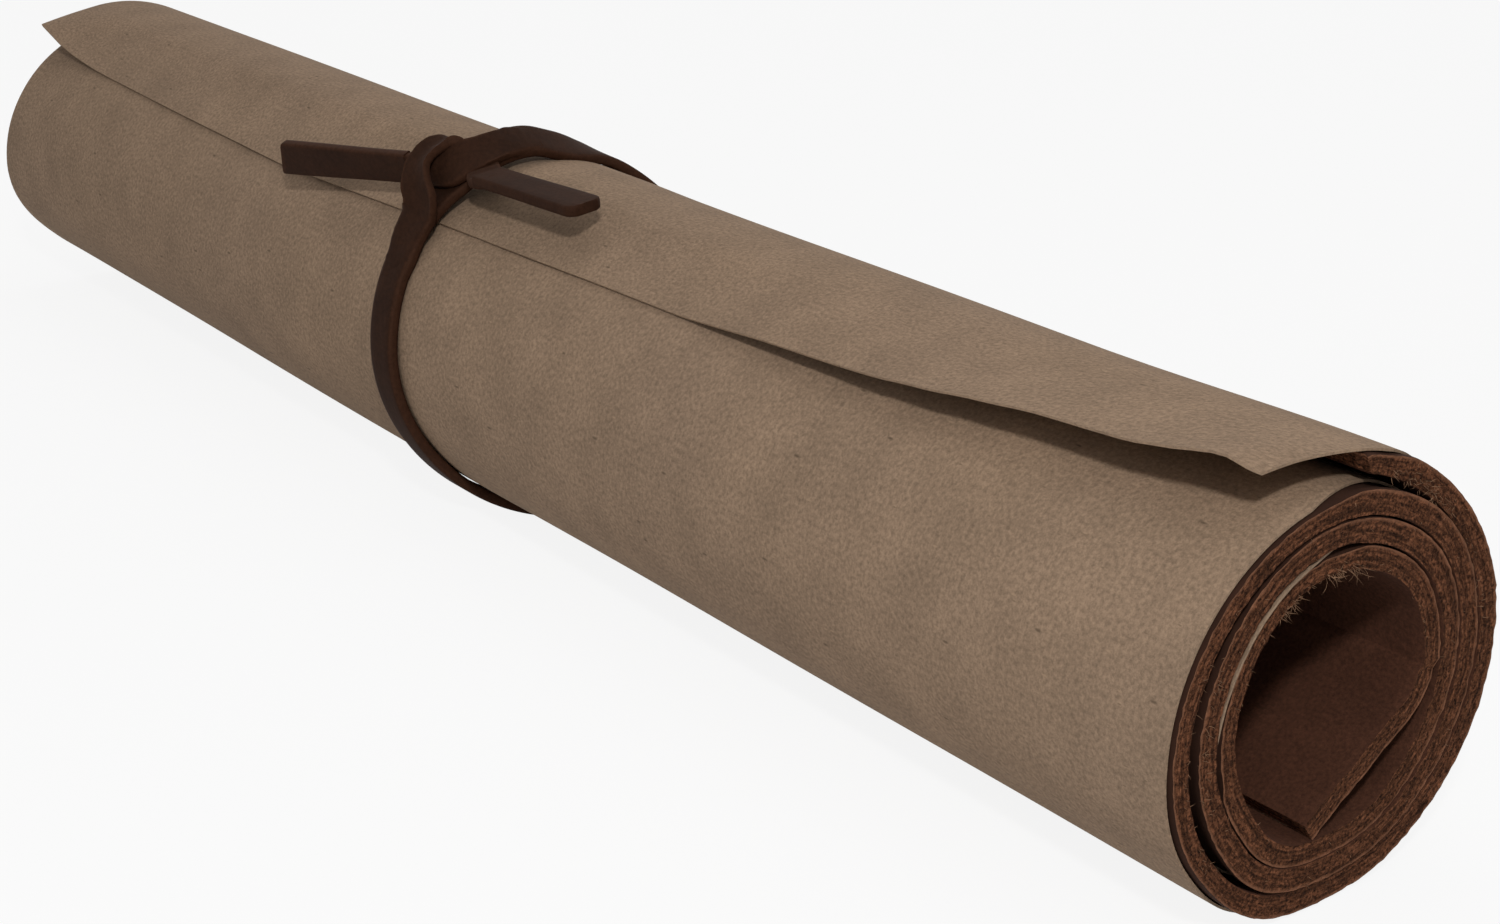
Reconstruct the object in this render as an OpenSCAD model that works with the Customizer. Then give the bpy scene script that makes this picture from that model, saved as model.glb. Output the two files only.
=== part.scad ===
// A sheet of leather faced with kraft paper, rolled up and tied with a leather lace.
// X runs along the roll, towards the end that shows its turns. The front is -Y, and Z is up.
// Lengths are in millimetres, and the part lies on the underside of its lace at Z = 0.

/* [Sheets] */
// Length of the roll, which is the width that both sheets are cut to
roll_length = 305; // [200:1:420]
// Thickness of the leather
leather_t = 2.3; // [1.6:0.1:3]
// Thickness of the kraft paper on the outer side of the leather
paper_t = 0.3; // [0.2:0.05:0.5]
// Air on each side of the paper
ply_gap = 0.25; // [0.15:0.05:0.5]

/* [Roll] */
// Full turns that lie under the outer flap
full_turns = 3; // [2:1:5]
// Radius of the hollow inside the first turn
core_r = 12.2; // [10:0.1:20]
// Width of the strip on which the roll has settled flat
flat_w = 3; // [2:0.5:6]
// Bend radius where the inner free end turns in across the hollow
inner_bend_r = 5; // [3:0.5:8]
// Angle of that bend
inner_bend_a = 57; // [48:1:65]
// Angle in front of the top at which the leather ends
leather_edge_a = 7; // [1:1:15]
// How far the paper runs on past the end of the leather
paper_overhang = 16.5; // [15:0.5:30]

/* [Lace] */
// Width of the lace
lace_w = 6; // [4:0.5:8]
// Thickness of the lace
lace_t = 1.6; // [1:0.1:2.4]
// Room between the lace and the roll
lace_clear = 0.35; // [0.3:0.05:1]
// How far the lace is pressed flat under the roll
lace_flat = 0.9; // [0.2:0.1:1.1]
// Place of the loop along the roll, from the middle
lace_x = 3; // [-60:0.5:60]
// How far the loop leans along the roll for each millimetre towards the back
lace_lean = 0.32; // [0:0.02:0.4]
// How far the loop leans along the roll for each millimetre downwards
lace_drop = 0.12; // [0:0.02:0.2]
// How far the loop bows off the roll behind the knot
bow_lift = 2.5; // [0.5:0.5:4]
// Angle behind the top at which it bows most
bow_a = 0; // [0:1:15]

/* [Knot] */
// Angle in front of the top at which the knot lies
knot_a = 28; // [22:1:36]
// How far the knot holds the loop off the roll
knot_lift = 0.5; // [0.5:0.5:4]
// Length of the knot along the roll
knot_l = 22; // [18:1:30]
// Width of the knot across the roll
knot_w = 13; // [11:0.5:18]
// Height of the knot above the loop
knot_h = 6; // [5:0.5:9]
// Length of the left tail of the lace
tail_left_l = 25; // [15:1:50]
// Length of the right tail of the lace
tail_right_l = 23; // [15:1:50]
// Room between a tail and the knot
tail_clear = 0.3; // [0.2:0.05:0.6]

/* [Hidden] */
$fn = 96;

// The plies, counted outwards from the inner face of the leather
paper_in = leather_t + ply_gap;
ply_out = paper_in + paper_t;
pitch = ply_out + ply_gap;

// Each turn is a half circle above the axis and two quarter circles and a flat below it
function turn_r(k) = core_r + k * pitch;
function top_r(k) = flat_w / 2 + turn_r(k) + pitch / 2;
top_y = -pitch / 2;
axis_z = turn_r(full_turns) + ply_out + lace_clear + lace_t - lace_flat;

// The inner free end bends in, runs straight across and stops on the next turn
bend_y = flat_w / 2 + core_r - inner_bend_r;
inner_end_l = (turn_r(1) - ply_gap - (inner_bend_r + ply_out) * sin(inner_bend_a)) / cos(inner_bend_a);

// The paper drops from the end of the leather to the turn below, and lies on it
flap_a = 90 + leather_edge_a;
flap_in = top_r(full_turns) + paper_in;
flap_out = top_r(full_turns) + ply_out;
land_in = top_r(full_turns - 1) + ply_out + ply_gap;
drop_a = acos(land_in / flap_in);
drop_l = flap_in * sin(drop_a);
land_a = flap_a + drop_a;
edge_a = land_a + (paper_overhang - drop_l) / land_in * 180 / PI;

function polar(r, a) = [r * cos(a), r * sin(a)];

// Points along an arc about c, from angle a0 to angle a1
arc_steps = 12;
function arc(c, r, a0, a1) = [for (i = [0:arc_steps]) c + polar(r, a0 + (a1 - a0) * i / arc_steps)];
function backwards(list) = [for (i = [len(list) - 1:-1:0]) list[i]];
function after_first(list) = [for (i = [1:len(list) - 1]) list[i]];

// A sector of a ring, of inner radius r and thickness t, from angle a0 to angle a1
module ring_sector(r, t, a0, a1) {
    reach = 2 * (r + t);
    intersection() {
        difference() {
            circle(r + t);
            circle(r);
        }
        polygon(concat([[0, 0]], [for (i = [0:3]) polar(reach, a0 + (a1 - a0) * i / 3)]));
    }
}

// The section of one ply at its inner free end, which bends in from the first turn
module inner_end_section(from, t) {
    face_in = arc([bend_y, 0], inner_bend_r + from, 0, -inner_bend_a);
    face_out = arc([bend_y, 0], inner_bend_r + from + t, 0, -inner_bend_a);
    straight = polar(inner_end_l, -inner_bend_a - 90);
    polygon(concat(face_in, [face_in[arc_steps] + straight, face_out[arc_steps] + straight], backwards(face_out)));
}

// The section of one ply, from the inner free end to the back of the last turn
module ply_section(from, t) {
    inner_end_section(from, t);
    for (k = [0:full_turns - 1]) translate([top_y, 0]) ring_sector(top_r(k) + from, t, 0, 180);
    for (k = [1:full_turns]) {
        translate([-flat_w / 2, 0]) ring_sector(turn_r(k) + from, t, 180, 270);
        translate([-flat_w / 2, -turn_r(k) - from - t]) square([flat_w, t]);
        translate([flat_w / 2, 0]) ring_sector(turn_r(k) + from, t, 270, 360);
    }
}

// The section of one ply in the outer flap, from the back of the last turn to the angle end_a
module flap_section(from, t, end_a) {
    translate([top_y, 0]) ring_sector(top_r(full_turns) + from, t, 0, end_a);
}

// The section of the paper from the top of the flap on: over the end of the leather, straight down
// to the turn below, and along that turn
module overhang_section() {
    middle = [0, 0];
    leather_end = polar(flap_in, flap_a);
    translate([top_y, 0]) polygon(concat(
        arc(middle, flap_out, 90, flap_a),
        after_first(arc(leather_end, paper_t, flap_a, land_a)),
        arc(middle, land_in + paper_t, land_a, edge_a),
        arc(middle, land_in, edge_a, land_a),
        arc(middle, flap_in, flap_a, 90)
    ));
}

// Carries a section on to the axis of the roll and gives it the roll's length
module along_roll() {
    translate([-roll_length / 2, 0, axis_z]) rotate([90, 0, 90]) linear_extrude(roll_length) children();
}

module leather_sheet() {
    color("#5a3a28") along_roll() {
        ply_section(0, leather_t);
        flap_section(0, leather_t, flap_a);
    }
}

module kraft_sheet() {
    color("#9a8268") along_roll() {
        ply_section(paper_in, paper_t);
        flap_section(paper_in, paper_t, 90);
        overhang_section();
    }
}

// Circles, as [y, z, radius] about the axis, round which the loop is drawn tight
prop_r = 4;
knot_r = flap_out * cos(knot_a - leather_edge_a) + knot_lift;
function prop(r, a) = concat([top_y, 0] + polar(r - prop_r, a), prop_r);
function rim(r, a) = concat([top_y, 0] + polar(r, a), 0);
function wrapped(a) = [
    [-flat_w / 2, 0, turn_r(full_turns) + ply_out],
    [flat_w / 2, 0, turn_r(full_turns) + ply_out],
    [top_y, 0, land_in - ply_gap],
    prop(knot_r, 90 + knot_a),
    prop(flap_out + bow_lift, 90 - bow_a),
    a <= flap_a ? [top_y, 0, flap_out] : rim(flap_out, flap_a),
    a <= edge_a ? [top_y, 0, land_in + paper_t] : rim(land_in + paper_t, edge_a)
];

// The circle that the loop touches where its outward direction is a
function reach(c, a) = [c.x, c.y] * polar(1, a) + c.z;
function touched(a) =
    let (circles = wrapped(a), reaches = [for (c = circles) reach(c, a)])
    circles[search(max(reaches), reaches)[0]];

// The section of the lace, with its long edges eased: [across, outwards]
lace_ease = lace_t / 4;
function lace_section(w, t) =
    let (x = w / 2, z = t / 2, e = lace_ease)
    [[x, -z + e], [x, z - e], [x - e, z], [-x + e, z], [-x, z - e], [-x, -z + e], [-x + e, -z], [x - e, -z]];

// Skin over a row of rings that have the same number of points each
module skin(rings, closed) {
    n = len(rings);
    m = len(rings[0]);
    sides = [
        for (i = [0:n - (closed ? 1 : 2)], j = [0:m - 1], upper = [false, true])
        let (a = i * m + j, b = i * m + (j + 1) % m, c = (i + 1) % n * m + j, d = (i + 1) % n * m + (j + 1) % m)
        upper ? [a, c, b] : [b, c, d]
    ];
    ends = closed ? [] : [[for (j = [0:m - 1]) j], [for (j = [m - 1:-1:0]) (n - 1) * m + j]];
    polyhedron([for (r = rings) each r], concat(sides, ends));
}

// The loop starts and ends at the two ends of the flat under the roll, where it is pressed level
loop_steps = 90;
flat_a = 270;
flat_side = 0.001;
function loop_ring(a) =
    let (c = touched(a % 360), middle = lace_clear + lace_t / 2)
    [
        for (s = lace_section(lace_w, lace_t))
        let (p = [c.x, c.y] + polar(c.z + middle + s.y, a))
        [lace_x + s.x + lace_lean * p.x - lace_drop * p.y, p.x, max(0, axis_z + p.y)]
    ];

module lace_loop() {
    color("#3c241c") skin(
        [for (i = [0:loop_steps]) loop_ring(flat_a + flat_side + (360 - 2 * flat_side) * i / loop_steps)],
        true
    );
}

// The knot lies on the loop, with its own Z outwards and its own Y towards the back
seat = [top_y, axis_z] + polar(knot_r + lace_clear + lace_t, 90 + knot_a);
module on_loop() {
    translate([lace_x + lace_lean * seat.x - lace_drop * (seat.y - axis_z), seat.x, seat.y])
        rotate([knot_a, 0, 0]) children();
}

// Where a tail leaves the knot, in the knot's own axes
tail_left_root = [-knot_l / 2, -0.1 * knot_w, 0.36 * knot_h];
tail_right_root = [knot_l / 2, 0.2 * knot_w, 0.42 * knot_h];
// How a tail turns aside along the roll, and how far its face turns to the front
tail_left_turn = 14;
tail_left_face = 65;
tail_right_turn = 3;
tail_right_face = -20;
tail_right_round = 1.2;

// The two strands of the knot, as [along, across, out, direction of the lace's width], from the
// loop to the root of a tail. Along, across and out are shares of half the length, half the width
// and the height.
front_strand = [
    [0.05, -1.10, -0.36, [1, 0, 0]],
    [0.00, -0.85, 0.10, [1, 0, 0]],
    [-0.25, -0.45, 0.62, [1, 0.2, 0.1]],
    [-0.40, 0.10, 0.88, [1, 0.15, 0]],
    [-0.36, 0.70, 0.62, [0.9, 0.3, 0]],
    [-0.05, 0.95, 0.28, [0.6, -0.5, 0.5]],
    [0.35, 0.50, 0.34, [0.3, -0.9, 0]],
    [0.70, 0.42, 0.42, [0, -1, 0.2]],
    [1.00, 0.40, 0.42, [0, -0.94, 0.34]]
];
back_strand = [
    [0.25, 1.10, -0.20, [1, 0, 0]],
    [0.30, 0.85, 0.25, [1, 0, 0]],
    [0.26, 0.42, 0.74, [0.9, -0.4, 0]],
    [-0.08, -0.05, 0.48, [0.5, -0.8, -0.2]],
    [-0.50, -0.12, 0.34, [0.1, -0.9, -0.5]],
    [-1.00, -0.20, 0.36, [0, -0.42, -0.91]]
];
knot_squeeze = 0.8;
strand_steps = 5;

function unit(v) = v / norm(v);
// A smooth curve through the values of a list, at place s counted in list entries
function at(list, i) = list[max(0, min(len(list) - 1, i))];
function through(list, s) =
    let (
        i = min(floor(s), len(list) - 2),
        f = s - i,
        a = at(list, i - 1),
        b = at(list, i),
        c = at(list, i + 1),
        d = at(list, i + 2)
    )
    b + f * (c - a) / 2 + f * f * (a - 2.5 * b + 2 * c - d / 2) + f * f * f * (1.5 * (b - c) + (d - a) / 2);

module strand(stations) {
    places = [for (s = stations) [s[0] * knot_l / 2, s[1] * knot_w / 2, s[2] * knot_h]];
    across = [for (s = stations) s[3]];
    ends = len(stations) - 1;
    step = 1 / strand_steps;
    skin(
        [
            for (i = [0:ends * strand_steps])
            let (
                s = i * step,
                here = through(places, s),
                ahead = unit(through(places, min(ends, s + step / 2)) - through(places, max(0, s - step / 2))),
                out = unit(cross(ahead, through(across, s))),
                side = cross(out, ahead)
            )
            [for (q = lace_section(lace_w * knot_squeeze, lace_t)) here + q.x * side + q.y * out]
        ],
        false
    );
}

module at_left_root() {
    on_loop() translate(tail_left_root) rotate([0, 0, tail_left_turn]) rotate([tail_left_face, 0, 0])
        mirror([1, 0, 0]) children();
}

module at_right_root() {
    on_loop() translate(tail_right_root) rotate([0, 0, tail_right_turn]) rotate([tail_right_face, 0, 0])
        children();
}

// A tail runs along X from its rounded root, where it bends
module tail(length, corner_r) {
    translate([0, 0, -lace_t / 2]) linear_extrude(lace_t) {
        translate([0, -lace_w / 2]) square([length - corner_r, lace_w]);
        translate([0, corner_r - lace_w / 2]) square([length, lace_w - 2 * corner_r]);
        for (side = [-1, 1]) translate([length - corner_r, side * (lace_w / 2 - corner_r)]) circle(corner_r);
    }
    rotate([90, 0, 0]) cylinder(d = lace_t, h = lace_w, center = true);
}

// The room that a tail's root needs at the side of the knot
module tail_room() {
    room = 2 * lace_w;
    translate([-lace_t / 2 - tail_clear, -room / 2, -room / 2]) cube(room);
}

module lace_knot() {
    color("#472b22") difference() {
        on_loop() {
            strand(front_strand);
            strand(back_strand);
        }
        lace_loop();
        at_left_root() tail_room();
        at_right_root() tail_room();
    }
}

module lace_tail_left() {
    color("#3c241c") at_left_root() tail(tail_left_l, lace_ease);
}

module lace_tail_right() {
    color("#3c241c") at_right_root() tail(tail_right_l, tail_right_round);
}

leather_sheet();
kraft_sheet();
lace_loop();
lace_knot();
lace_tail_left();
lace_tail_right();
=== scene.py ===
"""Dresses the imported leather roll: a suede sheet and its kraft paper rolled together, tied with a lace.

The roll lies along X. Its sections are worked out in millimetres about its own axis, with Y towards the
back and Z upwards, and carried to the frame in metres at the end.
"""

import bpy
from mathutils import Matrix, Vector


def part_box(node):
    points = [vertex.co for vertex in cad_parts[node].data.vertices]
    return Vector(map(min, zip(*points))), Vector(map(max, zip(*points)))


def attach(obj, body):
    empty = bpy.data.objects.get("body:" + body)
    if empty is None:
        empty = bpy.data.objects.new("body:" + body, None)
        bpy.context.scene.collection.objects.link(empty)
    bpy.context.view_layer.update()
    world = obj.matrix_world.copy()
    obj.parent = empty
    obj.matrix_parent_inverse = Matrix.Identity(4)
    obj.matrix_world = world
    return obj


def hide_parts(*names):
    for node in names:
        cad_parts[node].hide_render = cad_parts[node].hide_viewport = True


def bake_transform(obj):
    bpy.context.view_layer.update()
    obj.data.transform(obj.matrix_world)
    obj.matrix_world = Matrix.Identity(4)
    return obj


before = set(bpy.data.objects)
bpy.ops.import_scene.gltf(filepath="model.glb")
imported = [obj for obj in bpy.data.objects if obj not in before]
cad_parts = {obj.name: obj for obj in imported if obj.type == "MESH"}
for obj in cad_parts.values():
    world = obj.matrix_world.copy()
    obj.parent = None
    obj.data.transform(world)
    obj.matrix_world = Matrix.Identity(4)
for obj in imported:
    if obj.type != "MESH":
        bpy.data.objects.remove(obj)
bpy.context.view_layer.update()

import math

import bpy
import numpy as np
from mathutils import Vector, noise

bl_info = {
    "name": "Tied leather roll",
    "version": (1, 0, 0),
    "blender": (4, 5, 0),
    "location": "3D View > Sidebar > Leather roll",
    "description": "Builds a rolled suede sheet with its kraft paper, tied with a leather lace",
    "category": "Add Mesh",
}

MM = 0.001
ROLL_HIGH = [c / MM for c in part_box("leather_sheet")[1]]
HALF = ROLL_HIGH[0]


def linear(hex_colour):
    """The linear colour of an sRGB hex value."""
    channels = [int(hex_colour[i : i + 2], 16) / 255 for i in (1, 3, 5)]
    return [c / 12.92 if c <= 0.04045 else ((c + 0.055) / 1.055) ** 2.4 for c in channels]


def length(name, description, millimetres):
    """A length that a user would change, given in millimetres and kept in metres."""
    return bpy.props.FloatProperty(
        name=name, description=description, default=millimetres * MM, unit="LENGTH", precision=5
    )


def turn_angle(name, description, degrees):
    """An angle that a user would change, given in degrees."""
    return bpy.props.FloatProperty(
        name=name, description=description, default=math.radians(degrees), subtype="ANGLE"
    )


def colour(name, description, hex_colour):
    """A colour that a user would change, kept as linear."""
    return bpy.props.FloatVectorProperty(
        name=name, description=description, default=linear(hex_colour), subtype="COLOR", min=0, max=1
    )


class RollSizes(bpy.types.PropertyGroup):
    """The two rolled sheets"""

    leather_t: length("Leather thickness", "Thickness of the suede", 2.3)
    paper_t: length("Paper thickness", "Thickness of the kraft paper", 0.3)
    ply_gap: length("Ply gap", "Room between two plies", 0.25)
    core_r: length("Core radius", "Radius of the hollow at the start of the first turn", 12.2)
    flat_w: length("Flat width", "Width of the settled flat under the roll", 3.0)
    bend_r: length("Inner bend", "Radius at which the inner free end bends in", 5.0)
    bend_a: turn_angle("Inner bend angle", "How far the inner free end bends in", 56)
    end_a: turn_angle("Leather end", "Where the leather ends, past the back of the last turn", 97)
    end_l: length("Inner straight", "Length of the straight stretch at the inner free end", 18.0)


class LaceSizes(bpy.types.PropertyGroup):
    """The lace and its knot"""

    width: length("Lace width", "Width of the flat lace", 6.0)
    thick: length("Lace thickness", "Thickness of the flat lace", 1.6)
    clear: length("Lace room", "Room between the lace and the paper", 0.2)
    place: length("Lace place", "Place of the loop along the roll, from its middle", 3.0)
    tail_left_l: length("Left tail", "Length of the left tail", 27.0)
    tail_right_l: length("Right tail", "Length of the right tail", 21.5)


class RollColours(bpy.types.PropertyGroup):
    """The finishes"""

    paper: colour("Kraft paper", "Mean colour of the kraft paper", "#947c65")
    suede: colour("Suede", "Colour of the leather's napped face", "#4c2f22")
    back: colour("Leather back", "Colour of the leather's smooth outer face", "#37231a")
    cut: colour("Cut edge", "Colour of the leather's cut edge", "#5f3c29")
    fibre: colour("Fibres", "Colour of the loose fibres at the cut edges", "#8a6a52")
    lace: colour("Lace", "Colour of the lace's face", "#311e14")


class StageLight(bpy.types.PropertyGroup):
    """Light and floor"""

    key: bpy.props.FloatProperty(
        name="Key", description="Power of the lamp above the camera", default=1.04, unit="POWER"
    )
    top: bpy.props.FloatProperty(
        name="Top", description="Power of the soft lamp overhead", default=2.6, unit="POWER"
    )
    sky: bpy.props.FloatProperty(name="Sky", description="Strength of the even light", default=0.34)


def sizes_mm(group):
    """A group's lengths in millimetres and its other values as they are, by name."""
    values = {}
    for key, prop in group.bl_rna.properties.items():
        if prop.type == "FLOAT" and not prop.is_array:
            scale = 1 / MM if prop.unit == "LENGTH" else 1
            values[key] = getattr(group, key) * scale
    return type("Sizes", (), values)


# The section of the roll


def ray(angle):
    """The direction of an angle, from the back upwards, as (y, z)."""
    return np.stack([np.cos(angle), np.sin(angle)], -1)


class Section:
    """The line that the leather's inner face follows about the roll's axis, from its inner end outwards."""

    turns = 3
    # How many of the last stretches make up the outer turn
    outer_pieces = 5

    def __init__(self, z):
        self.sizes = z
        self.paper_in = z.leather_t + z.ply_gap
        self.pitch = self.paper_in + z.paper_t + z.ply_gap
        self.top_y = -self.pitch / 2
        self.flat = z.flat_w / 2
        self.flap_wind = z.bend_a + self.turns * 2 * math.pi
        self.axis_z = ROLL_HIGH[2] - self.top_r(self.turns) - z.leather_t

    def turn_r(self, k):
        return self.sizes.core_r + k * self.pitch

    def top_r(self, k):
        return self.flat + self.turn_r(k) + self.pitch / 2

    def pieces(self):
        """The stretches of the line, each as its length and its turn; a straight has no turn."""
        z = self.sizes
        yield z.end_l, 0.0
        yield z.bend_r * z.bend_a, z.bend_a
        for k in range(self.turns):
            quarter = (self.turn_r(k + 1) * math.pi / 2, math.pi / 2)
            yield self.top_r(k) * math.pi, math.pi
            yield quarter
            yield 2 * self.flat, 0.0
            yield quarter
        yield self.top_r(self.turns) * z.end_a, z.end_a

    def walk(self, step):
        """Points, outward directions, lengths run and winding angles along the line.

        step is the length between points, as (inner turns, outer turn).
        """
        z = self.sizes
        here = np.array([self.flat + z.core_r - z.bend_r, 0.0]) + z.bend_r * ray(-z.bend_a)
        here = here - z.end_l * ray(math.pi / 2 - z.bend_a)
        rows, run, wound = [], 0.0, 0.0
        stretches = list(self.pieces())
        for left, (long, turn) in zip(range(len(stretches) - 1, -1, -1), stretches):
            n = max(2, math.ceil(long / step[left < self.outer_pieces]))
            share = np.arange(n + 1)[:, None] / n
            out = ray(wound - z.bend_a + turn * share[:, 0])
            ahead = np.array([-out[0, 1], out[0, 0]])
            points = here + (long / turn * (out - out[0]) if turn else long * share * ahead)
            stretch = np.concatenate([points, out, run + long * share, wound + turn * share], 1)
            rows.append(stretch if left == 0 else stretch[:-1])
            here, run, wound = points[-1], run + long, wound + turn
        rows = np.concatenate(rows)
        return rows[:, :2], rows[:, 2:4], rows[:, 4], rows[:, 5]


# How far the sheets' outer end is lifted at the near end, in mm
FLAP_LIFT = 0.9
# The angle past which the leather's outer end draws back towards the near end, and how far it does
FLAP_HINGE = math.radians(50)
FLAP_CUT = math.radians(16.5)
# How far the loop's plane leans along the roll, for each mm to the back and for each mm down
LOOP_LEAN = 0.32
LOOP_DROP = 0.12
# The middle of the knot, in mm, and its turn about the roll
SEAT = np.array([-4.677, -14.709, 50.149])
KNOT_TURN = math.radians(28)


def smooth(low, high, value):
    """0 below low, 1 above high, and a smooth step between."""
    f = np.clip((np.asarray(value, float) - low) / (high - low), 0, 1)
    return f * f * (3 - 2 * f)


def between(rise, top, fall, end, value):
    """0 outside rise and end, 1 between top and fall, and smooth steps between."""
    return smooth(rise, top, value) * (1 - smooth(fall, end, value))


def unit(rows):
    """Directions of length 1."""
    return rows / np.linalg.norm(rows, axis=-1, keepdims=True)


def read(table, at):
    """A table's values, given as (place, value), at places between its rows."""
    return np.interp(at, *np.array(table).T)


def softened(values, reach, spread, ends):
    """Values at even steps, blurred over reach steps to each side."""
    kernel = np.exp(-0.5 * (np.arange(-reach, reach + 1) / spread) ** 2)
    return np.convolve(np.pad(values, reach, mode=ends), kernel / kernel.sum(), "valid")


def loop_x(place, points):
    """Where the loop's plane lies along the roll at points of a section, in millimetres."""
    return place + LOOP_LEAN * points[:, 0] - LOOP_DROP * points[:, 1]


def wobble(place, seed):
    """Smooth noise from -1 to 1 at each row of place, different for each seed."""
    shift = Vector((seed * 7.31, seed * 3.17, seed * 11.9))
    flat = np.asarray(place, float).reshape(-1, place.shape[-1])
    rows = np.array([noise.noise(Vector(p) + shift) for p in flat])
    return rows.reshape(place.shape[:-1])


def settled(section, x, points, winds):
    """How far the plies lie outside a true roll, in mm, for each place along and round the roll."""
    angle = np.mod(np.arctan2(points[:, 1], points[:, 0]), 2 * math.pi)
    turn = (winds - section.sizes.bend_a) / (2 * math.pi)
    degrees, x = np.degrees(angle), x[:, None]
    grid = np.stack(np.broadcast_arrays(x / 55, 1.3 * np.cos(angle), 1.3 * np.sin(angle)), -1)
    dents = 0.22 * (wobble(grid, 1) - 0.6)
    place = sizes_mm(bpy.context.scene.lace_sizes).place
    tied = 1 - 0.8 * (1 - smooth(6, 22, np.abs(x - loop_x(place, points))))
    wound = turn >= 0
    loose = -1.25 * between(95, 165, 195, 268, degrees) * wound * (turn < 2) * smooth(70, HALF, x)
    sag = 0.2 * np.clip(2.75 - turn, 0, 2) * between(200, 262, 278, 340, degrees) * wound
    slack = 0.8 * (1 - between(30, 75, 215, 250, degrees)) * wound * smooth(20, 150, x)
    tight = -1.3 * between(190, 225, 285, 320, degrees) * wound * smooth(20, 150, -x)
    lift = FLAP_LIFT * smooth(35, 88, np.degrees(winds - section.flap_wind)) * smooth(105, 150, x)
    return dents * tied + loose + sag + slack + tight + lift


def laid(section, x, walk):
    """The leather's inner face: points and outward directions [along the roll, along the line, yz]."""
    points, outs, _, winds = walk
    shape = (len(x), len(points), 2)
    place, out = np.broadcast_to(points, shape).copy(), np.broadcast_to(outs, shape).copy()
    on_flap = winds >= section.flap_wind - 1e-9
    angle = winds[on_flap] - section.flap_wind
    end = section.sizes.end_a
    kept = (end - FLAP_CUT * smooth(95, 148, x)[:, None] - FLAP_HINGE) / (end - FLAP_HINGE)
    turned = np.where(angle < FLAP_HINGE, angle, FLAP_HINGE + (angle - FLAP_HINGE) * kept)
    out[:, on_flap] = ray(turned)
    place[:, on_flap] = np.array([section.top_y, 0.0]) + section.top_r(section.turns) * out[:, on_flap]
    return place + out * settled(section, x, points, winds)[..., None], out


def closed_sheet(name, inner, outer, runs, layers, rough=None):
    """A sheet between its inner and outer face, both [along the roll, along the line, xyz] in millimetres."""
    nx, ns = inner.shape[:2]
    used = np.ones((layers + 1, nx, ns), bool)
    used[1:-1, 1:-1, 1:-1] = False
    index = np.cumsum(used).reshape(used.shape) - 1
    share = np.linspace(0, 1, layers + 1)[:, None, None, None]
    lattice = inner[None] * (1 - share) + outer[None] * share
    if rough is not None:
        lattice = lattice + rough(lattice)
    points = lattice[used] * MM
    thick = np.linalg.norm(outer[nx // 2, ns // 2] - inner[nx // 2, ns // 2])
    t_run = np.linspace(0, thick, layers + 1)
    x_run = inner[:, ns // 2, 0]
    faces, uvs, slots = [], [], []

    def corners(grid):
        return np.stack([grid[:-1, :-1], grid[1:, :-1], grid[1:, 1:], grid[:-1, 1:]], 2)

    def wall(grid, u, v, order, slot):
        quads = corners(grid).reshape(-1, 4)
        uv = corners(np.stack(np.meshgrid(u, v, indexing="ij"), -1)).reshape(-1, 4, 2)
        faces.append(quads[:, ::order])
        uvs.append(uv[:, ::order])
        slots.append(np.full(len(quads), slot))

    wall(index[0], x_run, runs, 1, 0)
    wall(index[-1], x_run, runs, -1, 1)
    wall(index[:, -1, :], t_run, runs, 1, 2)
    wall(index[:, 0, :], t_run, runs, -1, 2)
    wall(index[:, :, -1], t_run, x_run, -1, 2)
    wall(index[:, :, 0], t_run, x_run, 1, 2)
    piece = new_piece(name, points, np.concatenate(faces).tolist())
    layer = piece.data.uv_layers.new(name="flat")
    layer.data.foreach_set("uv", (np.concatenate(uvs) * MM).astype(np.float32).ravel())
    piece.data.polygons.foreach_set("material_index", np.concatenate(slots).astype(np.int32))
    return piece


def new_piece(name, points, faces):
    """A mesh object at the origin from points in metres and lists of their numbers."""
    mesh = bpy.data.meshes.new(name)
    mesh.from_pydata(points.tolist(), [], faces)
    mesh.update()
    piece = bpy.data.objects.new(name, mesh)
    bpy.context.scene.collection.objects.link(piece)
    return piece


def pick(piece):
    """Selects a piece alone and makes it the active one."""
    bpy.ops.object.select_all(action="DESELECT")
    piece.select_set(True)
    bpy.context.view_layer.objects.active = piece


def ease_edges(piece, degrees):
    """Shades a piece smooth, with its edges sharper than the angle kept crisp."""
    pick(piece)
    bpy.ops.object.shade_smooth_by_angle(angle=math.radians(degrees))
    piece.select_set(False)


def face_outwards(piece):
    """Turns all faces of a closed piece outwards."""
    pick(piece)
    bpy.ops.object.mode_set(mode="EDIT")
    bpy.ops.mesh.select_all(action="SELECT")
    bpy.ops.mesh.normals_make_consistent(inside=False)
    bpy.ops.object.mode_set(mode="OBJECT")
    piece.select_set(False)


def stations(fine_end, steps):
    """Places along a sheet from 0 to 1, at the given mm from both ends and in even steps between."""
    near = np.array(fine_end) / (2 * HALF)
    middle = np.linspace(near[-1], 1 - near[-1], steps)
    return np.unique(np.concatenate([near, middle, 1 - near[::-1]]))


# Materials


def add(tree, kind, inputs=None, **settings):
    """Adds a shader node; an input given as a node or a socket is linked, and any other value is set."""
    made = tree.nodes.new("ShaderNode" + kind)
    for key, value in settings.items():
        setattr(made, key, value)
    for key, value in (inputs or {}).items():
        if isinstance(value, bpy.types.Node):
            value = value.outputs[0]
        if isinstance(value, bpy.types.NodeSocket):
            tree.links.new(value, made.inputs[key])
        else:
            made.inputs[key].default_value = value
    return made


def new_material(name):
    """An empty node material and its tree."""
    made = bpy.data.materials.new(name)
    made.use_nodes = True
    made.node_tree.nodes.clear()
    return made, made.node_tree


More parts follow.
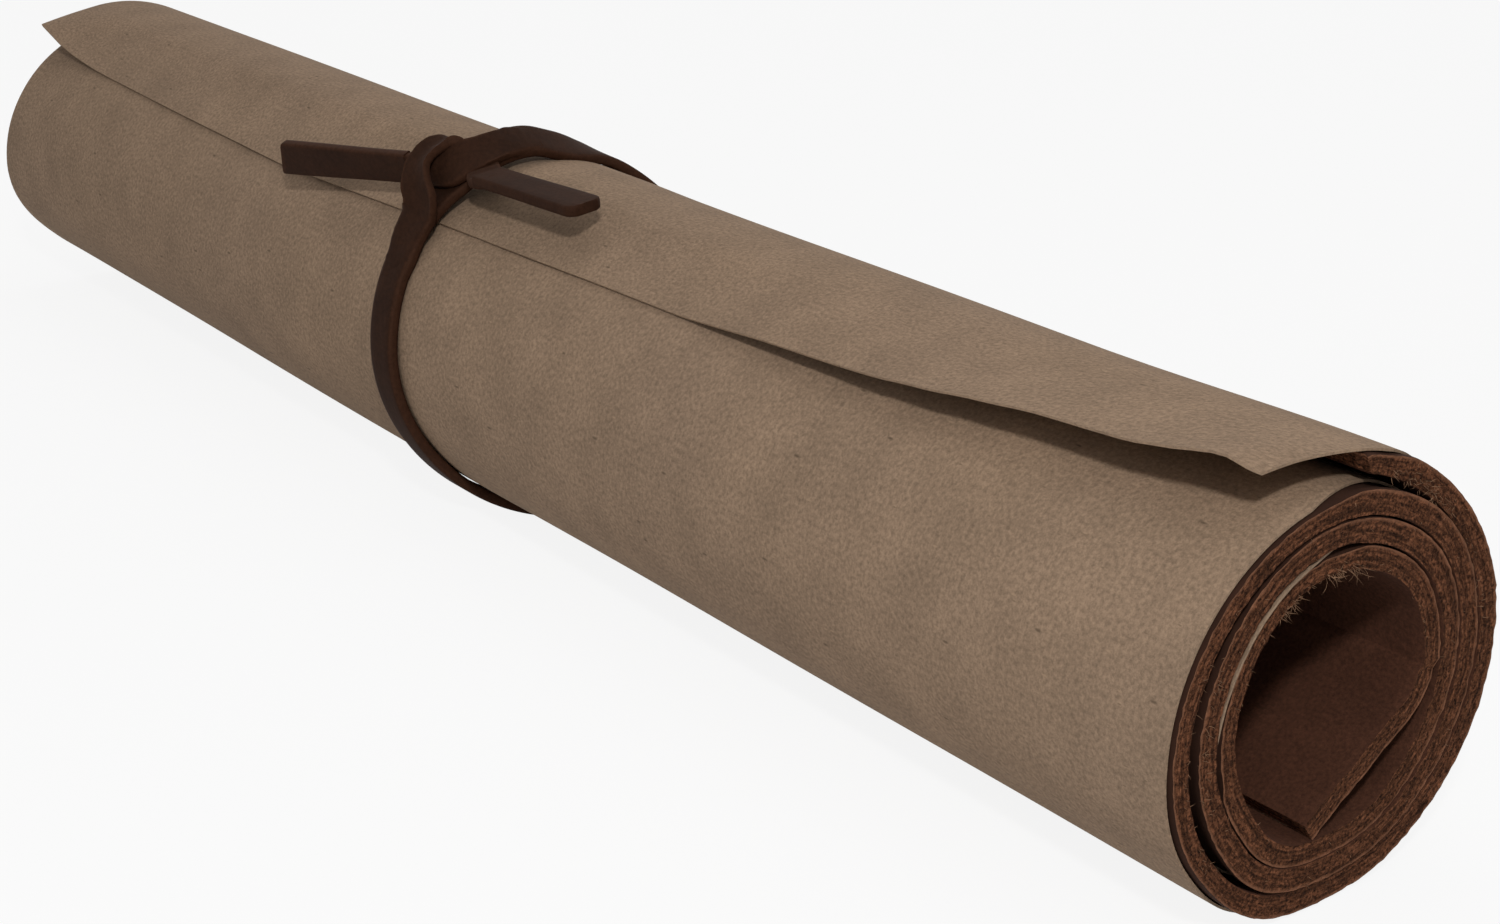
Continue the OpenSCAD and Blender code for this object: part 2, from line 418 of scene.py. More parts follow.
def shade(rgb, factors):
    """A colour made lighter or darker, by one factor or one for each channel, as a socket value."""
    return [min(1.0, c * f) for c, f in zip(rgb, np.broadcast_to(factors, 3))] + [1.0]


def mottled(tree, base, *layers):
    """A colour times each layer's tone; a layer is (pattern, low, high, tone at low, tone at high)."""
    tone = None
    for pattern, low, high, dark, light in layers:
        ends = {"From Min": low, "From Max": high, "To Min": dark, "To Max": light}
        layer = add(tree, "MapRange", {"Value": pattern, **ends})
        tone = add(tree, "Math", {0: tone, 1: layer}, operation="MULTIPLY") if tone is not None else layer
    return add(tree, "VectorMath", {0: base, "Scale": tone}, operation="SCALE")


def finished(made, base, relief, inputs):
    """Gives a material its surface; its relief is (height, strength, depth in metres), or None."""
    tree = made.node_tree
    inputs = {"Base Color": base, **inputs}
    if relief:
        inputs["Normal"] = add(tree, "Bump", dict(zip(("Height", "Strength", "Distance"), relief)))
    add(tree, "OutputMaterial", {0: add(tree, "BsdfPrincipled", inputs)})
    return made


def kraft_paper(base):
    """Unbleached kraft paper, calendered: matt, cloudy, with fibres, dark shives and pale flecks in it."""
    made, tree = new_material("unbleached_kraft_paper")
    uv = add(tree, "UVMap", uv_map="flat")
    mm = add(tree, "Mapping", {"Vector": uv, "Scale": (1000, 1000, 1000)})
    cloud = add(tree, "TexNoise", {"Vector": mm, "Scale": 0.11, "Detail": 4, "Roughness": 0.6})
    patch = add(tree, "TexNoise", {"Vector": mm, "Scale": 0.022, "Detail": 2})
    grain = add(tree, "TexNoise", {"Vector": mm, "Scale": 1.7, "Detail": 4, "Roughness": 0.75})
    fibres = None
    for turn, shift in ((0.5, 0), (-0.7, 40), (1.5, 90)):
        laid_in = {"Rotation": (0, 0, turn), "Scale": (0.8, 1.9, 1), "Location": (shift, shift, 0)}
        along = add(tree, "Mapping", {"Vector": mm, **laid_in})
        lines = add(tree, "TexNoise", {"Vector": along, "Scale": 1.0, "Detail": 2, "Distortion": 0.6})
        fibres = add(tree, "Math", {0: fibres, 1: lines}, operation="ADD") if fibres is not None else lines
    tints = {6: shade(base, (0.94, 0.95, 1.0)), 7: shade(base, 1.04)}
    warm = add(tree, "Mix", {0: patch, **tints}, data_type="RGBA")
    colour_now = mottled(
        tree,
        warm.outputs[2],
        (cloud, 0.3, 0.7, 0.88, 1.11),
        (grain, 0.3, 0.7, 0.64, 1.36),
        (fibres, 1.1, 1.9, 0.96, 1.04),
    )
    for turn, cell, reach, rarity, ink in (
        (0.4, 0.14, 0.04, 0.7, shade(base, 0.4)),
        (1.1, 0.3, 0.045, 0.6, shade(base, 0.65)),
        (2.2, 0.22, 0.05, 0.72, shade(base, 1.3)),
    ):
        strewn = {"Rotation": (0, 0, turn), "Scale": (cell * 0.45, cell * 1.5, 1)}
        place = add(tree, "Mapping", {"Vector": mm, **strewn})
        cells = add(tree, "TexVoronoi", {"Vector": place, "Scale": 1.0}, voronoi_dimensions="2D")
        chance = add(tree, "SeparateColor", {"Color": cells.outputs["Color"]})
        picked = add(tree, "Math", {0: chance, 1: rarity}, operation="GREATER_THAN")
        ends = {"From Min": reach, "From Max": reach * 0.4, "To Min": 0.0, "To Max": 0.8}
        spot = add(tree, "MapRange", {"Value": cells.outputs["Distance"], **ends})
        inked = add(tree, "Math", {0: picked, 1: spot}, operation="MULTIPLY")
        colour_now = add(tree, "Mix", {0: inked, 6: colour_now, 7: ink}, data_type="RGBA").outputs[2]
    relief = add(tree, "Math", {0: grain, 1: fibres}, operation="ADD")
    matt = {"Roughness": 0.86, "Specular IOR Level": 0.2}
    return finished(made, colour_now, (relief, 0.35, 0.00006), matt)


def suede_nap(base):
    """Suede, buffed to a short nap: dull, velvety, with fine pile and faint brushed clouds."""
    made, tree = new_material("suede_nap")
    place = add(tree, "TexCoord").outputs["Object"]
    pile = add(tree, "TexNoise", {"Vector": place, "Scale": 2200, "Detail": 3, "Roughness": 0.7})
    brushed = add(tree, "TexNoise", {"Vector": place, "Scale": 160, "Detail": 3})
    dyed = mottled(tree, base, (pile, 0.3, 0.7, 0.62, 1.35), (brushed, 0.3, 0.7, 0.88, 1.1))
    velvet = {"Sheen Weight": 0.15, "Sheen Roughness": 0.6, "Sheen Tint": shade(base, 2.2)}
    dull = {"Roughness": 0.95, "Specular IOR Level": 0.15, **velvet}
    return finished(made, dyed, (pile, 0.6, 0.00015), dull)


def leather_back(base):
    """The leather's smooth side, pressed and dyed: close-grained and dull, with a faint pebble."""
    made, tree = new_material("smooth_leather_back")
    place = add(tree, "TexCoord").outputs["Object"]
    pebble = add(tree, "TexVoronoi", {"Vector": place, "Scale": 1400})
    dye = add(tree, "TexNoise", {"Vector": place, "Scale": 240, "Detail": 3})
    dyed = mottled(tree, base, (dye, 0.3, 0.7, 0.8, 1.2))
    dull = {"Roughness": 0.85, "Specular IOR Level": 0.1}
    return finished(made, dyed, (pebble, 0.3, 0.0001), dull)


def cut_edge(base):
    """The leather's sheared edge: fibre bundles, pale where they stand out, and a painted highlight along its
    outer rim.
    """
    made, tree = new_material("suede_cut_edge")
    place = add(tree, "TexCoord").outputs["Object"]
    uv = add(tree, "UVMap", uv_map="flat")
    # Fibre bundles are under 0.1 mm thick: drawn 0.4 mm across, and 0.3 by 1.4 mm along the ply, to show
    tufts = add(tree, "TexNoise", {"Vector": place, "Scale": 2500, "Detail": 3, "Roughness": 0.7})
    along = add(tree, "Mapping", {"Vector": uv, "Scale": (3300, 700, 1)})
    streaks = add(tree, "TexNoise", {"Vector": along, "Scale": 1.0, "Detail": 3, "Distortion": 0.8})
    layered = add(tree, "Mapping", {"Vector": uv, "Scale": (2400, 90, 1)})
    splits = add(tree, "TexNoise", {"Vector": layered, "Scale": 1.0, "Detail": 2})
    specks = add(tree, "TexVoronoi", {"Vector": place, "Scale": 2300})
    dyed = mottled(
        tree,
        base,
        (tufts, 0.35, 0.66, 0.25, 1.7),
        (streaks, 0.35, 0.65, 0.5, 1.45),
        (splits, 0.38, 0.55, 0.55, 1.15),
    )
    through_ply = add(tree, "SeparateXYZ", {0: uv})
    speck_ends = {"From Min": 0.2, "From Max": 0.05, "To Min": 0.0, "To Max": 0.6}
    bright = add(tree, "MapRange", {"Value": specks.outputs["Distance"], **speck_ends})
    pale = shade(base, (2.3, 2.576, 2.76))
    hairy = add(tree, "Mix", {0: bright, 6: dyed, 7: pale}, data_type="RGBA")
    # A painted highlight: the ply's outer rim is drawn pale, as where light catches the cut's edge, broken by
    # the streaks
    rim_ends = {"From Min": 0.00195, "From Max": 0.0022, "To Min": 0.0, "To Max": 1.3}
    rim = add(tree, "MapRange", {"Value": through_ply, **rim_ends})
    broken = add(tree, "Math", {0: rim, 1: streaks}, operation="MULTIPLY")
    # The colour of the painted rim highlight
    wear_and_highlight = shade(base, (2.6, 2.99, 3.38))
    rim_highlighted = add(tree, "Mix", {0: broken, 6: hairy.outputs[2], 7: wear_and_highlight}, data_type="RGBA")
    dull = {"Roughness": 0.95, "Specular IOR Level": 0.08}
    return finished(made, rim_highlighted.outputs[2], (tufts, 1.0, 0.0004), dull)


def loose_fibres(base):
    """Loose collagen fibres: fine, matt and pale, with a little dye left in them."""
    made, tree = new_material("loose_leather_fibres")
    place = add(tree, "TexCoord").outputs["Object"]
    dye = add(tree, "TexNoise", {"Vector": place, "Scale": 700, "Detail": 2})
    dyed = mottled(tree, base, (dye, 0.3, 0.7, 0.5, 1.3))
    return finished(made, dyed, None, {"Roughness": 0.9, "Specular IOR Level": 0.1})


LACE_FINISH = "oiled_lace_leather"


def lace_leather(base):
    """Vegetable-dyed lace, finished on its face: smooth, a little waxy, paler along its edges, partly from
    wear and partly as a painted highlight.
    """
    made, tree = new_material(LACE_FINISH)
    place = add(tree, "TexCoord").outputs["Object"]
    pores = add(tree, "TexNoise", {"Vector": place, "Scale": 1500, "Detail": 3, "Roughness": 0.65})
    dye = add(tree, "TexNoise", {"Vector": place, "Scale": 210, "Detail": 3})
    worn_and_lit = add(tree, "Attribute", attribute_name="wear_and_highlight")
    dyed = mottled(tree, base, (pores, 0.3, 0.7, 0.8, 1.18), (dye, 0.3, 0.7, 0.82, 1.15))
    # Paler along the edges: partly edge wear, partly a painted highlight where the edges catch the light
    wear_and_highlight_mask = add(tree, "Math", {0: worn_and_lit.outputs["Fac"], 1: pores}, operation="MULTIPLY")
    mixed = add(tree, "Mix", {0: wear_and_highlight_mask, 6: dyed, 7: shade(base, 2.0)}, data_type="RGBA")
    waxy = {"Roughness": 0.7, "Specular IOR Level": 0.06}
    return finished(made, mixed.outputs[2], (pores, 0.3, 0.0001), waxy)


# Pieces


# The paper's free flap, as (place along the roll in mm, length past the leather in mm,
# drop of its chord in degrees)
FLAP = (
    *((-152.5, 11.0, 2), (-151.5, 12.1, 2), (-149.5, 12.5, 2.5), (-146, 12.7, 7), (-143, 12.8, 14)),
    *((-138, 12.9, 19.5), (-130, 13.2, 24), (-118, 13.5, 26), (-84, 14.5, 26.6), (-53, 15.3, 26.2)),
    *((-3, 13.8, 25.6), (35, 12.8, 25.2), (53, 12.5, 25), (71, 12.3, 16), (87, 12.1, 11)),
    *((99, 12.13, 5.2), (109, 13.13, 2.8), (119, 14.85, 3.2), (128, 16.5, 5.9), (134, 17.5, 6.9)),
    *((140, 17.93, 5.3), (145, 17.79, 2.5), (146.5, 17.51, 1.9), (148, 17.14, 3.5)),
    *((149.2, 16.44, 5.6), (149.6, 15.53, 7.1), (149.9, 14.83, 7.6)),
)
# The flap's mean length in mm, and the degrees of winding that it is counted as
FLAP_RUN = 14.0
FLAP_WIND = 30
# How far the paper's near edge lies behind the roll's end,
# as (degrees wound from the start of the first turn, mm)
PAPER_NEAR = (
    *((-60, 4.0), (60, 4.0), (88, 1.6), (102, 0.5), (125, 0.35), (150, 0.35), (175, 0.6), (195, 1.4)),
    *((215, 4.0), (300, 4.5), (400, 5.0), (770, 5.0), (790, 4.0), (808, 2.2), (822, 0.7), (900, 0.8)),
    *((940, 1.4), (985, 3.0), (1085, 4.4), (1110, 4.8), (1130, 4.4), (1145, 3.2), (1157, 2.2)),
    *((1167, 1.7), (1197, 2.6)),
)
# The same for the leather's near edge
LEATHER_NEAR = ((70, 0.35), (105, 0.65), (195, 0.65), (230, 0.35), (1095, 0.35), (1125, 1.1), (1165, 1.4))
# The same for the far edges of both sheets in the outer turn, and for the paper's in its flap
FAR_EDGE = ((790, 0), (815, 2.0), (840, 2.4), (868, 1.2), (905, -1.0), (935, -0.8), (985, 0))
FLAP_FAR = ((1080, 0), (1115, 0.4), (1177, 0.6), (1207, 1.8))


def flap_profile(x):
    """For each place along the roll, the overhang's length and its chord's drop in degrees."""
    dense = np.arange(-156.0, 156.1, 0.25)
    at, *columns = np.array(FLAP).T
    for column in columns:
        yield np.interp(x, dense, softened(np.interp(dense, at, column), 8, 3.0, "edge"))


def overhang(section, x, start, out, steps, land_r):
    """The paper's inner face past the leather's end: points and outward directions [place, step, yz]."""
    centre = np.array([section.top_y, 0.0])
    points, outs = np.zeros((len(x), steps, 2)), np.zeros((len(x), steps, 2))
    for i, (long, drop) in enumerate(zip(*flap_profile(x))):
        ramp = 0.12 if abs(x[i]) < 12 else 0.22 + 0.7 * (1 - smooth(8, 22, drop))
        bend = math.radians(drop) / (1 - ramp / 2)
        place, first = start[i], math.atan2(out[i, 1], out[i, 0]) + math.pi / 2
        ds, landed = long / steps, False
        for k in range(steps):
            if not landed:
                heading = first + bend * min(1.0, (k + 0.5) / steps / ramp)
            place = place + ds * ray(heading)
            away = place - centre
            r = math.hypot(*away)
            if r < land_r:
                landed = True
                place = centre + away / r * land_r
                heading = math.atan2(away[1], away[0]) + math.pi / 2 + ds / land_r
            points[i, k], outs[i, k] = place, ray(heading - math.pi / 2)
    return points, outs


def roll_section():
    """The section line for the sizes in the scene."""
    return Section(sizes_mm(bpy.context.scene.roll_sizes))


def cut_line(runs, wave, seed):
    """How unevenly a long cut was made, in millimetres, along its run."""
    still = np.zeros_like(runs)
    return wobble(np.stack([runs / wave, still, still], -1), seed)


def along_roll(share, far, near):
    """X for each station and each place on the line."""
    return far + share[:, None] * (near - far)


# The length between points along the line, in mm, as (inner turns, outer turn)
LEATHER_STEP = (0.75, 0.75)
PAPER_STEP = (2.2, 1.1)
# The least height of the leather over the floor, in mm
FLOOR_ROOM = 0.05
# Angles, in degrees, over which an edge is kept crisp
SHEET_EDGE = 50
LACE_EDGE = 60


def leather_faces(section):
    """The leather's inner and outer face [along the roll, along the line, xyz], and its runs."""
    thick = section.sizes.leather_t
    walk = section.walk(LEATHER_STEP)
    runs, winds = walk[2], walk[3]
    share = stations([0, 0.25, 0.7, 1.5, 3, 6, 11], 27)
    turned = np.degrees(winds - section.sizes.bend_a)
    near = HALF - read(LEATHER_NEAR, turned) + 0.3 * cut_line(runs, 22, 3)
    far = 0.35 - HALF + 0.35 * cut_line(runs, 22, 4) + read(FAR_EDGE, turned)
    x = along_roll(share, far, near)
    x_mid = (2 * share - 1) * HALF
    place, out = laid(section, x_mid, walk)
    from_end = np.minimum(share, 1 - share) * 2 * HALF
    from_tip = runs[-1] - runs
    rounded = 0.12 * (1 - smooth(0, 0.7, from_end))[:, None] + 0.25 * (1 - smooth(0, 0.8, from_tip))
    room = smooth(1.6, 2.8, read(PAPER_NEAR, turned))
    room_inside = smooth(1.6, 2.8, read(PAPER_NEAR, turned - 360)) * (turned > 300)
    frayed_out = (1 - smooth(0, 2.6, (1 - share) * 2 * HALF))[:, None]
    slant = 0.55 * smooth(120, 150, x_mid)[:, None] * (1 - smooth(0, 4, from_tip))
    ahead = np.stack([-out[..., 1], out[..., 0]], -1)
    faces = []
    for offset, side in (
        (rounded - 0.2 * frayed_out * room_inside, -1),
        (thick - rounded + 0.55 * frayed_out * room, 1),
    ):
        yz = place + out * offset[..., None] + side * ahead * slant[..., None]
        yz[..., 1] = np.maximum(FLOOR_ROOM, yz[..., 1] + section.axis_z)
        faces.append(np.concatenate([x[..., None], yz], -1))
    return faces[0], faces[1], runs


class ROLL_OT_leather(bpy.types.Operator):
    """Rolls the suede leather sheet"""

    bl_idname = "leather_roll.leather"
    bl_label = "Roll the leather"

    def execute(self, context):
        section = roll_section()
        inner, outer, runs = leather_faces(section)

        def frayed(lattice):
            shift = np.zeros_like(lattice)
            for end, sign in ((0, -1), (-1, 1)):
                cut = lattice[:, end]
                shift[:, end, :, 0] = sign * (0.09 * wobble(cut * 0.9, 5) + 0.17 * wobble(cut * 2.6, 6))
                shift[1:-1, end, :, 1] = 0.1 * wobble(cut[1:-1] * 1.9, 12)
                shift[1:-1, end, :, 2] = 0.1 * wobble(cut[1:-1] * 1.9, 13)
            tip = lattice[:, :, -1]
            shift[:, :, -1, 1] = -0.35 * wobble(tip * 0.7, 7) - 0.2 * wobble(tip * 2.1, 14)
            return shift

        piece = closed_sheet("suede_leather", inner, outer, runs, 8, frayed)
        colours = context.scene.roll_colours
        for finish in (suede_nap(colours.suede), leather_back(colours.back), cut_edge(colours.cut)):
            piece.data.materials.append(finish)
        ease_edges(piece, SHEET_EDGE)
        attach(piece, "roll")
        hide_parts("leather_sheet")
        return {"FINISHED"}


# Where loose fibres stand on the near cut, as (degrees wound from, to,
# share through the ply from, to, how many, their length in mm)
TUFTS = (
    (76, 97, 0.0, 0.2, 34, 2.2),
    (110, 124, 0.0, 0.25, 30, 1.5),
    (15, 170, 0.0, 0.3, 40, 0.8),
    (505, 565, 0.6, 1.0, 40, 1.2),
    (860, 950, 0.0, 0.4, 24, 1.0),
    (1128, 1162, 0.0, 0.5, 70, 1.3),
    (1085, 1128, 0.0, 0.3, 40, 1.0),
    (0, 1160, 0.0, 1.0, 130, 0.8),
)
# A fibre's thickness at three places along it, as radii in mm, and how deep its root lies in the leather
FIBRE_RADII = (0.045, 0.04, 0.03)
FIBRE_ROOT = 0.25


class ROLL_OT_fibres(bpy.types.Operator):
    """Raises the loose fibres at the leather's near cut"""

    bl_idname = "leather_roll.fibres"
    bl_label = "Raise the fibres"

    def execute(self, context):
        section = roll_section()
        inner, outer, _ = leather_faces(section)
        turned = np.degrees(section.walk(LEATHER_STEP)[3] - section.sizes.bend_a)
        dice = np.random.default_rng(11)
        points, faces = [], []
        corners = np.radians([0, 120, 240])
        for first, last, low, high, count, reach in TUFTS:
            for j in dice.choice(np.flatnonzero((turned >= first) & (turned <= last)), count):
                share = dice.uniform(low, high)
                root = inner[-1, j] * (1 - share) + outer[-1, j] * share - [FIBRE_ROOT, 0, 0]
                out = unit(outer[-1, j] - inner[-1, j])
                heading = np.array([0.75, 0, 0]) - out * dice.uniform(0.0, 0.9)
                heading = heading + dice.normal(0, 0.45, 3)
                curl = dice.normal(0, 0.5, 3)
                long = reach * dice.uniform(0.6, 1.3)
                spine = [root]
                for _ in range(3):
                    heading = unit(heading)
                    spine.append(spine[-1] + heading * long / 3)
                    heading = heading + curl
                side = unit(np.cross(heading, [0.3, 0.5, 0.8]))
                other = unit(np.cross(heading, side))
                base = len(points)
                for at, r in zip(spine, FIBRE_RADII):
                    points += [at + r * (math.cos(c) * side + math.sin(c) * other) for c in corners]
                points.append(spine[3])
                faces.append([base + 2, base + 1, base])
                for k in range(3):
                    n = (k + 1) % 3
                    for row in (base, base + 3):
                        faces.append([row + k, row + n, row + 3 + n, row + 3 + k])
                    faces.append([base + 6 + k, base + 6 + n, base + 9])
        piece = new_piece("leather_fibres", np.array(points) * MM, faces)
        face_outwards(piece)
        piece.data.materials.append(loose_fibres(context.scene.roll_colours.fibre))
        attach(piece, "roll")
        return {"FINISHED"}


class ROLL_OT_paper(bpy.types.Operator):
    """Rolls the kraft paper on the leather's outer side, with its loose flap"""

    bl_idname = "leather_roll.paper"
    bl_label = "Roll the paper"

    def execute(self, context):
        section = roll_section()
        start, thick = section.paper_in, section.sizes.paper_t
        walk = section.walk(PAPER_STEP)
        runs, winds = walk[2], walk[3]
        share = stations([0, 0.3, 0.7, 1.2, 2, 3.2, 5], 118)
        steps = 18
        past = np.arange(1, steps + 1) / steps
        all_runs = np.concatenate([runs, runs[-1] + FLAP_RUN * past])
        turned = np.degrees(winds - section.sizes.bend_a)
        turned = np.concatenate([turned, turned[-1] + FLAP_WIND * past])
        near = HALF - read(PAPER_NEAR, turned) + 0.2 * cut_line(all_runs, 30, 8)
        far = 0.3 - HALF + 0.3 * cut_line(all_runs, 30, 9) + read(FAR_EDGE, turned) + read(FLAP_FAR, turned)
        x = along_roll(share, far, near)
        place, out = laid(section, (2 * share - 1) * HALF, walk)
        place = place + start * out
        land_r = section.top_r(section.turns - 1) + start + thick + 0.12
        over, over_out = overhang(section, x[:, -1], place[:, -1], out[:, -1], steps, land_r)
        place, out = np.concatenate([place, over], 1), np.concatenate([out, over_out], 1)
        inner = np.concatenate([x[..., None], place], -1)
        outer = np.concatenate([x[..., None], place + thick * out], -1)
        inner[..., 2] += section.axis_z
        outer[..., 2] += section.axis_z
        piece = closed_sheet("kraft_paper", inner, outer, all_runs, 1)
        finish = kraft_paper(context.scene.roll_colours.paper)
        for _ in range(3):
            piece.data.materials.append(finish)
        ease_edges(piece, SHEET_EDGE)
        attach(piece, "roll")
        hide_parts("kraft_sheet")
        return {"FINISHED"}


# Lace


def lace_ring(width, thick, ease=0.4):
    """The section of the lace as (across, outwards, share of edge wear and painted highlight), with rounded
    long edges.
    """
    w, t = width / 2 - ease, thick / 2
    # The rounding begins about 0.1 mm inside the faces
    high = (t - 0.1) / 0.87
    ring = []
    for side in (-1, 1):
        ring += [(-side * f * w, side * t, 0.0) for f in (-0.9, -0.45, 0, 0.45, 0.9)]
        # The rounded edges get 1, drawn paler in the finish: partly wear, partly a painted highlight
        for a in np.radians((-60, -25, 25, 60)):
            ring.append((-side * (w + ease * math.cos(a)), -side * high * math.sin(a), 1.0))
    return np.array(ring)


def lace_piece(name, rings, wear_and_highlight, closed, finish):
    """A stretch of lace over rings [ring, point, xyz] in millimetres, closed round or capped at its ends."""
    n, m = rings.shape[:2]
    index = np.arange(n * m).reshape(n, m)
    after = np.roll(index, -1, 1)
    rows = n if closed else n - 1
    quads = np.stack([index, after, np.roll(after, -1, 0), np.roll(index, -1, 0)], -1)[:rows]
    faces = quads.reshape(-1, 4).tolist()
    if not closed:
        faces += [list(range(m - 1, -1, -1)), list(range((n - 1) * m, n * m))]
    piece = new_piece(name, rings.reshape(-1, 3) * MM, faces)
    # How pale each point is drawn: edge wear and a painted highlight
    worn_and_lit = piece.data.attributes.new("wear_and_highlight", "FLOAT", "POINT")
    worn_and_lit.data.foreach_set("value", np.broadcast_to(wear_and_highlight, (n, m)).astype(np.float32).ravel())
    face_outwards(piece)
    piece.data.materials.append(finish)
    ease_edges(piece, LACE_EDGE)
    return piece


# Where the paper flap's edge lies under the lace, and how far it stands over the turn below, in mm
FLAP_EDGE = math.radians(133.8)
FLAP_STEP = 0.55
# The radius of the lace's bend under the knot, in mm
KNOT_R = 4
# The arch of the lace behind the knot: where it is, its height over the paper and its radius, in mm
ARCH_A = math.radians(95)
ARCH_H = 2.0
ARCH_R = 8


def loop_path(section, clear, steps):
    """The line round the tied roll at a distance of clear, in mm: points and outward directions."""
    paper_out = section.paper_in + section.sizes.paper_t
    turn_r = section.turn_r(section.turns) + paper_out
    out_r = section.top_r(section.turns) + paper_out
    land_r = section.top_r(section.turns - 1) + paper_out
    flap_r = land_r + FLAP_STEP
    top, end_a, knot_a = section.top_y, section.sizes.end_a, math.pi / 2 + KNOT_TURN
    knot_r = out_r * math.cos(knot_a - end_a) + 0.5

    def spot(r, a, size):
        return (top + r * math.cos(a), r * math.sin(a), size)

    points, outs = [], []
    # From just past the foot of the roll all the way round to just before it
    for a in math.radians(270.01) + np.linspace(0, 2 * math.pi - 0.0003, steps):
        turned = a % (2 * math.pi)
        circles = [
            (-section.flat, 0, turn_r),
            (section.flat, 0, turn_r),
            (top, 0, land_r),
            spot(knot_r - KNOT_R, knot_a, KNOT_R),
            spot(out_r + ARCH_H - ARCH_R, ARCH_A, ARCH_R),
            (top, 0, out_r) if turned <= end_a else spot(out_r, end_a, 0),
            (top, 0, flap_r) if turned <= FLAP_EDGE else spot(flap_r, FLAP_EDGE, 0),
        ]
        d = ray(a)
        c = max(circles, key=lambda circle: circle[0] * d[0] + circle[1] * d[1] + circle[2])
        points.append(np.array([c[0], c[1]]) + (c[2] + clear) * d)
        outs.append(d)
    return np.array(points), np.array(outs)


def evenly(points, outs, count):
    """A closed path with its outward directions, at even steps along it."""
    closed = np.concatenate([points, points[:1]])
    far = np.concatenate([[0], np.cumsum(np.linalg.norm(np.diff(closed, axis=0), axis=1))])
    at = np.linspace(0, far[-1], count, endpoint=False)
    rows = np.concatenate([closed, np.concatenate([outs, outs[:1]])], 1)
    rows = np.stack([np.interp(at, far, column) for column in rows.T], -1)
    return rows[:, :2], unit(rows[:, 2:])


# How far the loop strays along the roll from its plane, as (mm from the knot's middle to the back, mm)
LOOP_STRAY = (
    *((-20, 0), (-16, -0.6), (-13.4, -1.2), (-10, -2.0), (-7, -2.6), (-4, -2.9), (-1, -2.0)),
    *((3, -1.0), (12, -0.7), (18, -4.0), (24, -9.5), (28, -10.0)),
)
# How far the lace is twisted behind the knot
LOOP_TWIST = math.radians(27)
# How many points the loop's line is worked out at, and how many rings it is drawn with
LOOP_POINTS = 720
LOOP_RINGS = 280


class ROLL_OT_loop(bpy.types.Operator):
    """Ties the loop of the lace round the roll"""

    bl_idname = "leather_roll.loop"
    bl_label = "Tie the loop"

    def execute(self, context):
        section = roll_section()
        lace = sizes_mm(context.scene.lace_sizes)
        points, outs = evenly(*loop_path(section, lace.clear + lace.thick / 2, LOOP_POINTS), LOOP_RINGS)
        behind = (points[:, 0] - SEAT[1]) * math.cos(KNOT_TURN)
        behind += (points[:, 1] + section.axis_z - SEAT[2]) * math.sin(KNOT_TURN)
        over = smooth(-15, 10, points[:, 1])
        stray = softened(read(LOOP_STRAY, behind) * over, 12, 4.5, "wrap")
        turned = LOOP_TWIST * between(4, 11, 17, 25, behind) * over
        ring = lace_ring(lace.width, lace.thick)
        rings = np.zeros((len(points), len(ring), 3))
        for k, (across, outwards, _) in enumerate(ring):
            beside = across * np.cos(turned) + outwards * np.sin(turned)
            yz = points + outs * (outwards * np.cos(turned) - across * np.sin(turned))[:, None]
            rings[:, k, 0] = loop_x(lace.place, points) + beside + stray
            rings[:, k, 1] = yz[:, 0]
            rings[:, k, 2] = np.maximum(0, section.axis_z + yz[:, 1])
        finish = lace_leather(context.scene.roll_colours.lace)
        piece = lace_piece("lace_loop_band", rings, ring[:, 2], True, finish)
        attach(piece, "lace")
        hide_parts("lace_loop")
        return {"FINISHED"}


# The knot's strands as (place in the knot's own axes in mm, direction across,
# share of the lace's width, cupping in mm)
FRONT_STRAND = (
    ((-2.42, -14.0, -7.0), (1, 0.1, 0), 0.9, 0),
    ((-2.5, -11.3, -5.2), (1, 0.15, 0), 0.98, 0),
    ((-2.6, -8.4, -3.2), (1, 0.25, 0), 1.03, 0.1),
    ((-1.9, -6.0, -1.4), (1, 0.35, 0.1), 1.08, 0.3),
    ((-1.7, -4.5, 0.4), (1, 0.45, 0.15), 1.0, 0.5),
    ((-3.2, -3.0, 2.2), (1, 0.4, 0.1), 0.85, 0.7),
    ((-4.7, -0.8, 3.6), (1, 0.3, 0.1), 0.75, 0.7),
    ((-4.8, 1.9, 4.2), (1, 0.2, 0), 0.7, 0.7),
    ((-3.9, 4.4, 3.8), (0.9, 0.4, 0), 0.7, 0.5),
    ((-2.0, 6.2, 2.2), (0.7, -0.5, 0.5), 0.7, 0.2),
    ((0.7, 5.8, 0.9), (0.4, -0.9, 0.1), 0.75, 0),
    ((3.6, 4.2, 0.8), (0.1, -0.97, 0.2), 0.85, 0),
    ((6.4, 2.9, 1.4), (0, -0.95, 0.3), 0.9, 0),
    ((8.8, 2.5, 2.1), (0, -0.93, 0.35), 0.9, 0),
    ((11.0, 2.6, 2.52), (0, -0.93, 0.37), 0.9, 0),
)
BACK_STRAND = (
    ((1.75, 14.4, -1.6), (0.89, -0.31, -0.33), 0.8, 0),
    ((1.9, 11.6, 0.4), (0.89, -0.21, -0.4), 0.92, 0),
    ((1.9, 8.4, 1.7), (0.8, -0.35, -0.48), 0.85, -0.3),
    ((1.2, 5.3, 2.4), (0.66, -0.62, -0.45), 0.95, -0.3),
    ((-1.0, 2.7, 2.3), (0.52, -0.7, -0.5), 1.2, -0.2),
    ((-4.0, 0.9, 2.0), (0.3, -0.65, -0.7), 0.95, 0),
    ((-7.8, -0.6, 2.1), (0.05, -0.3, -0.95), 0.8, 0),
    ((-11.0, -1.3, 2.16), (0.03, -0.135, -0.99), 0.84, 0),
)


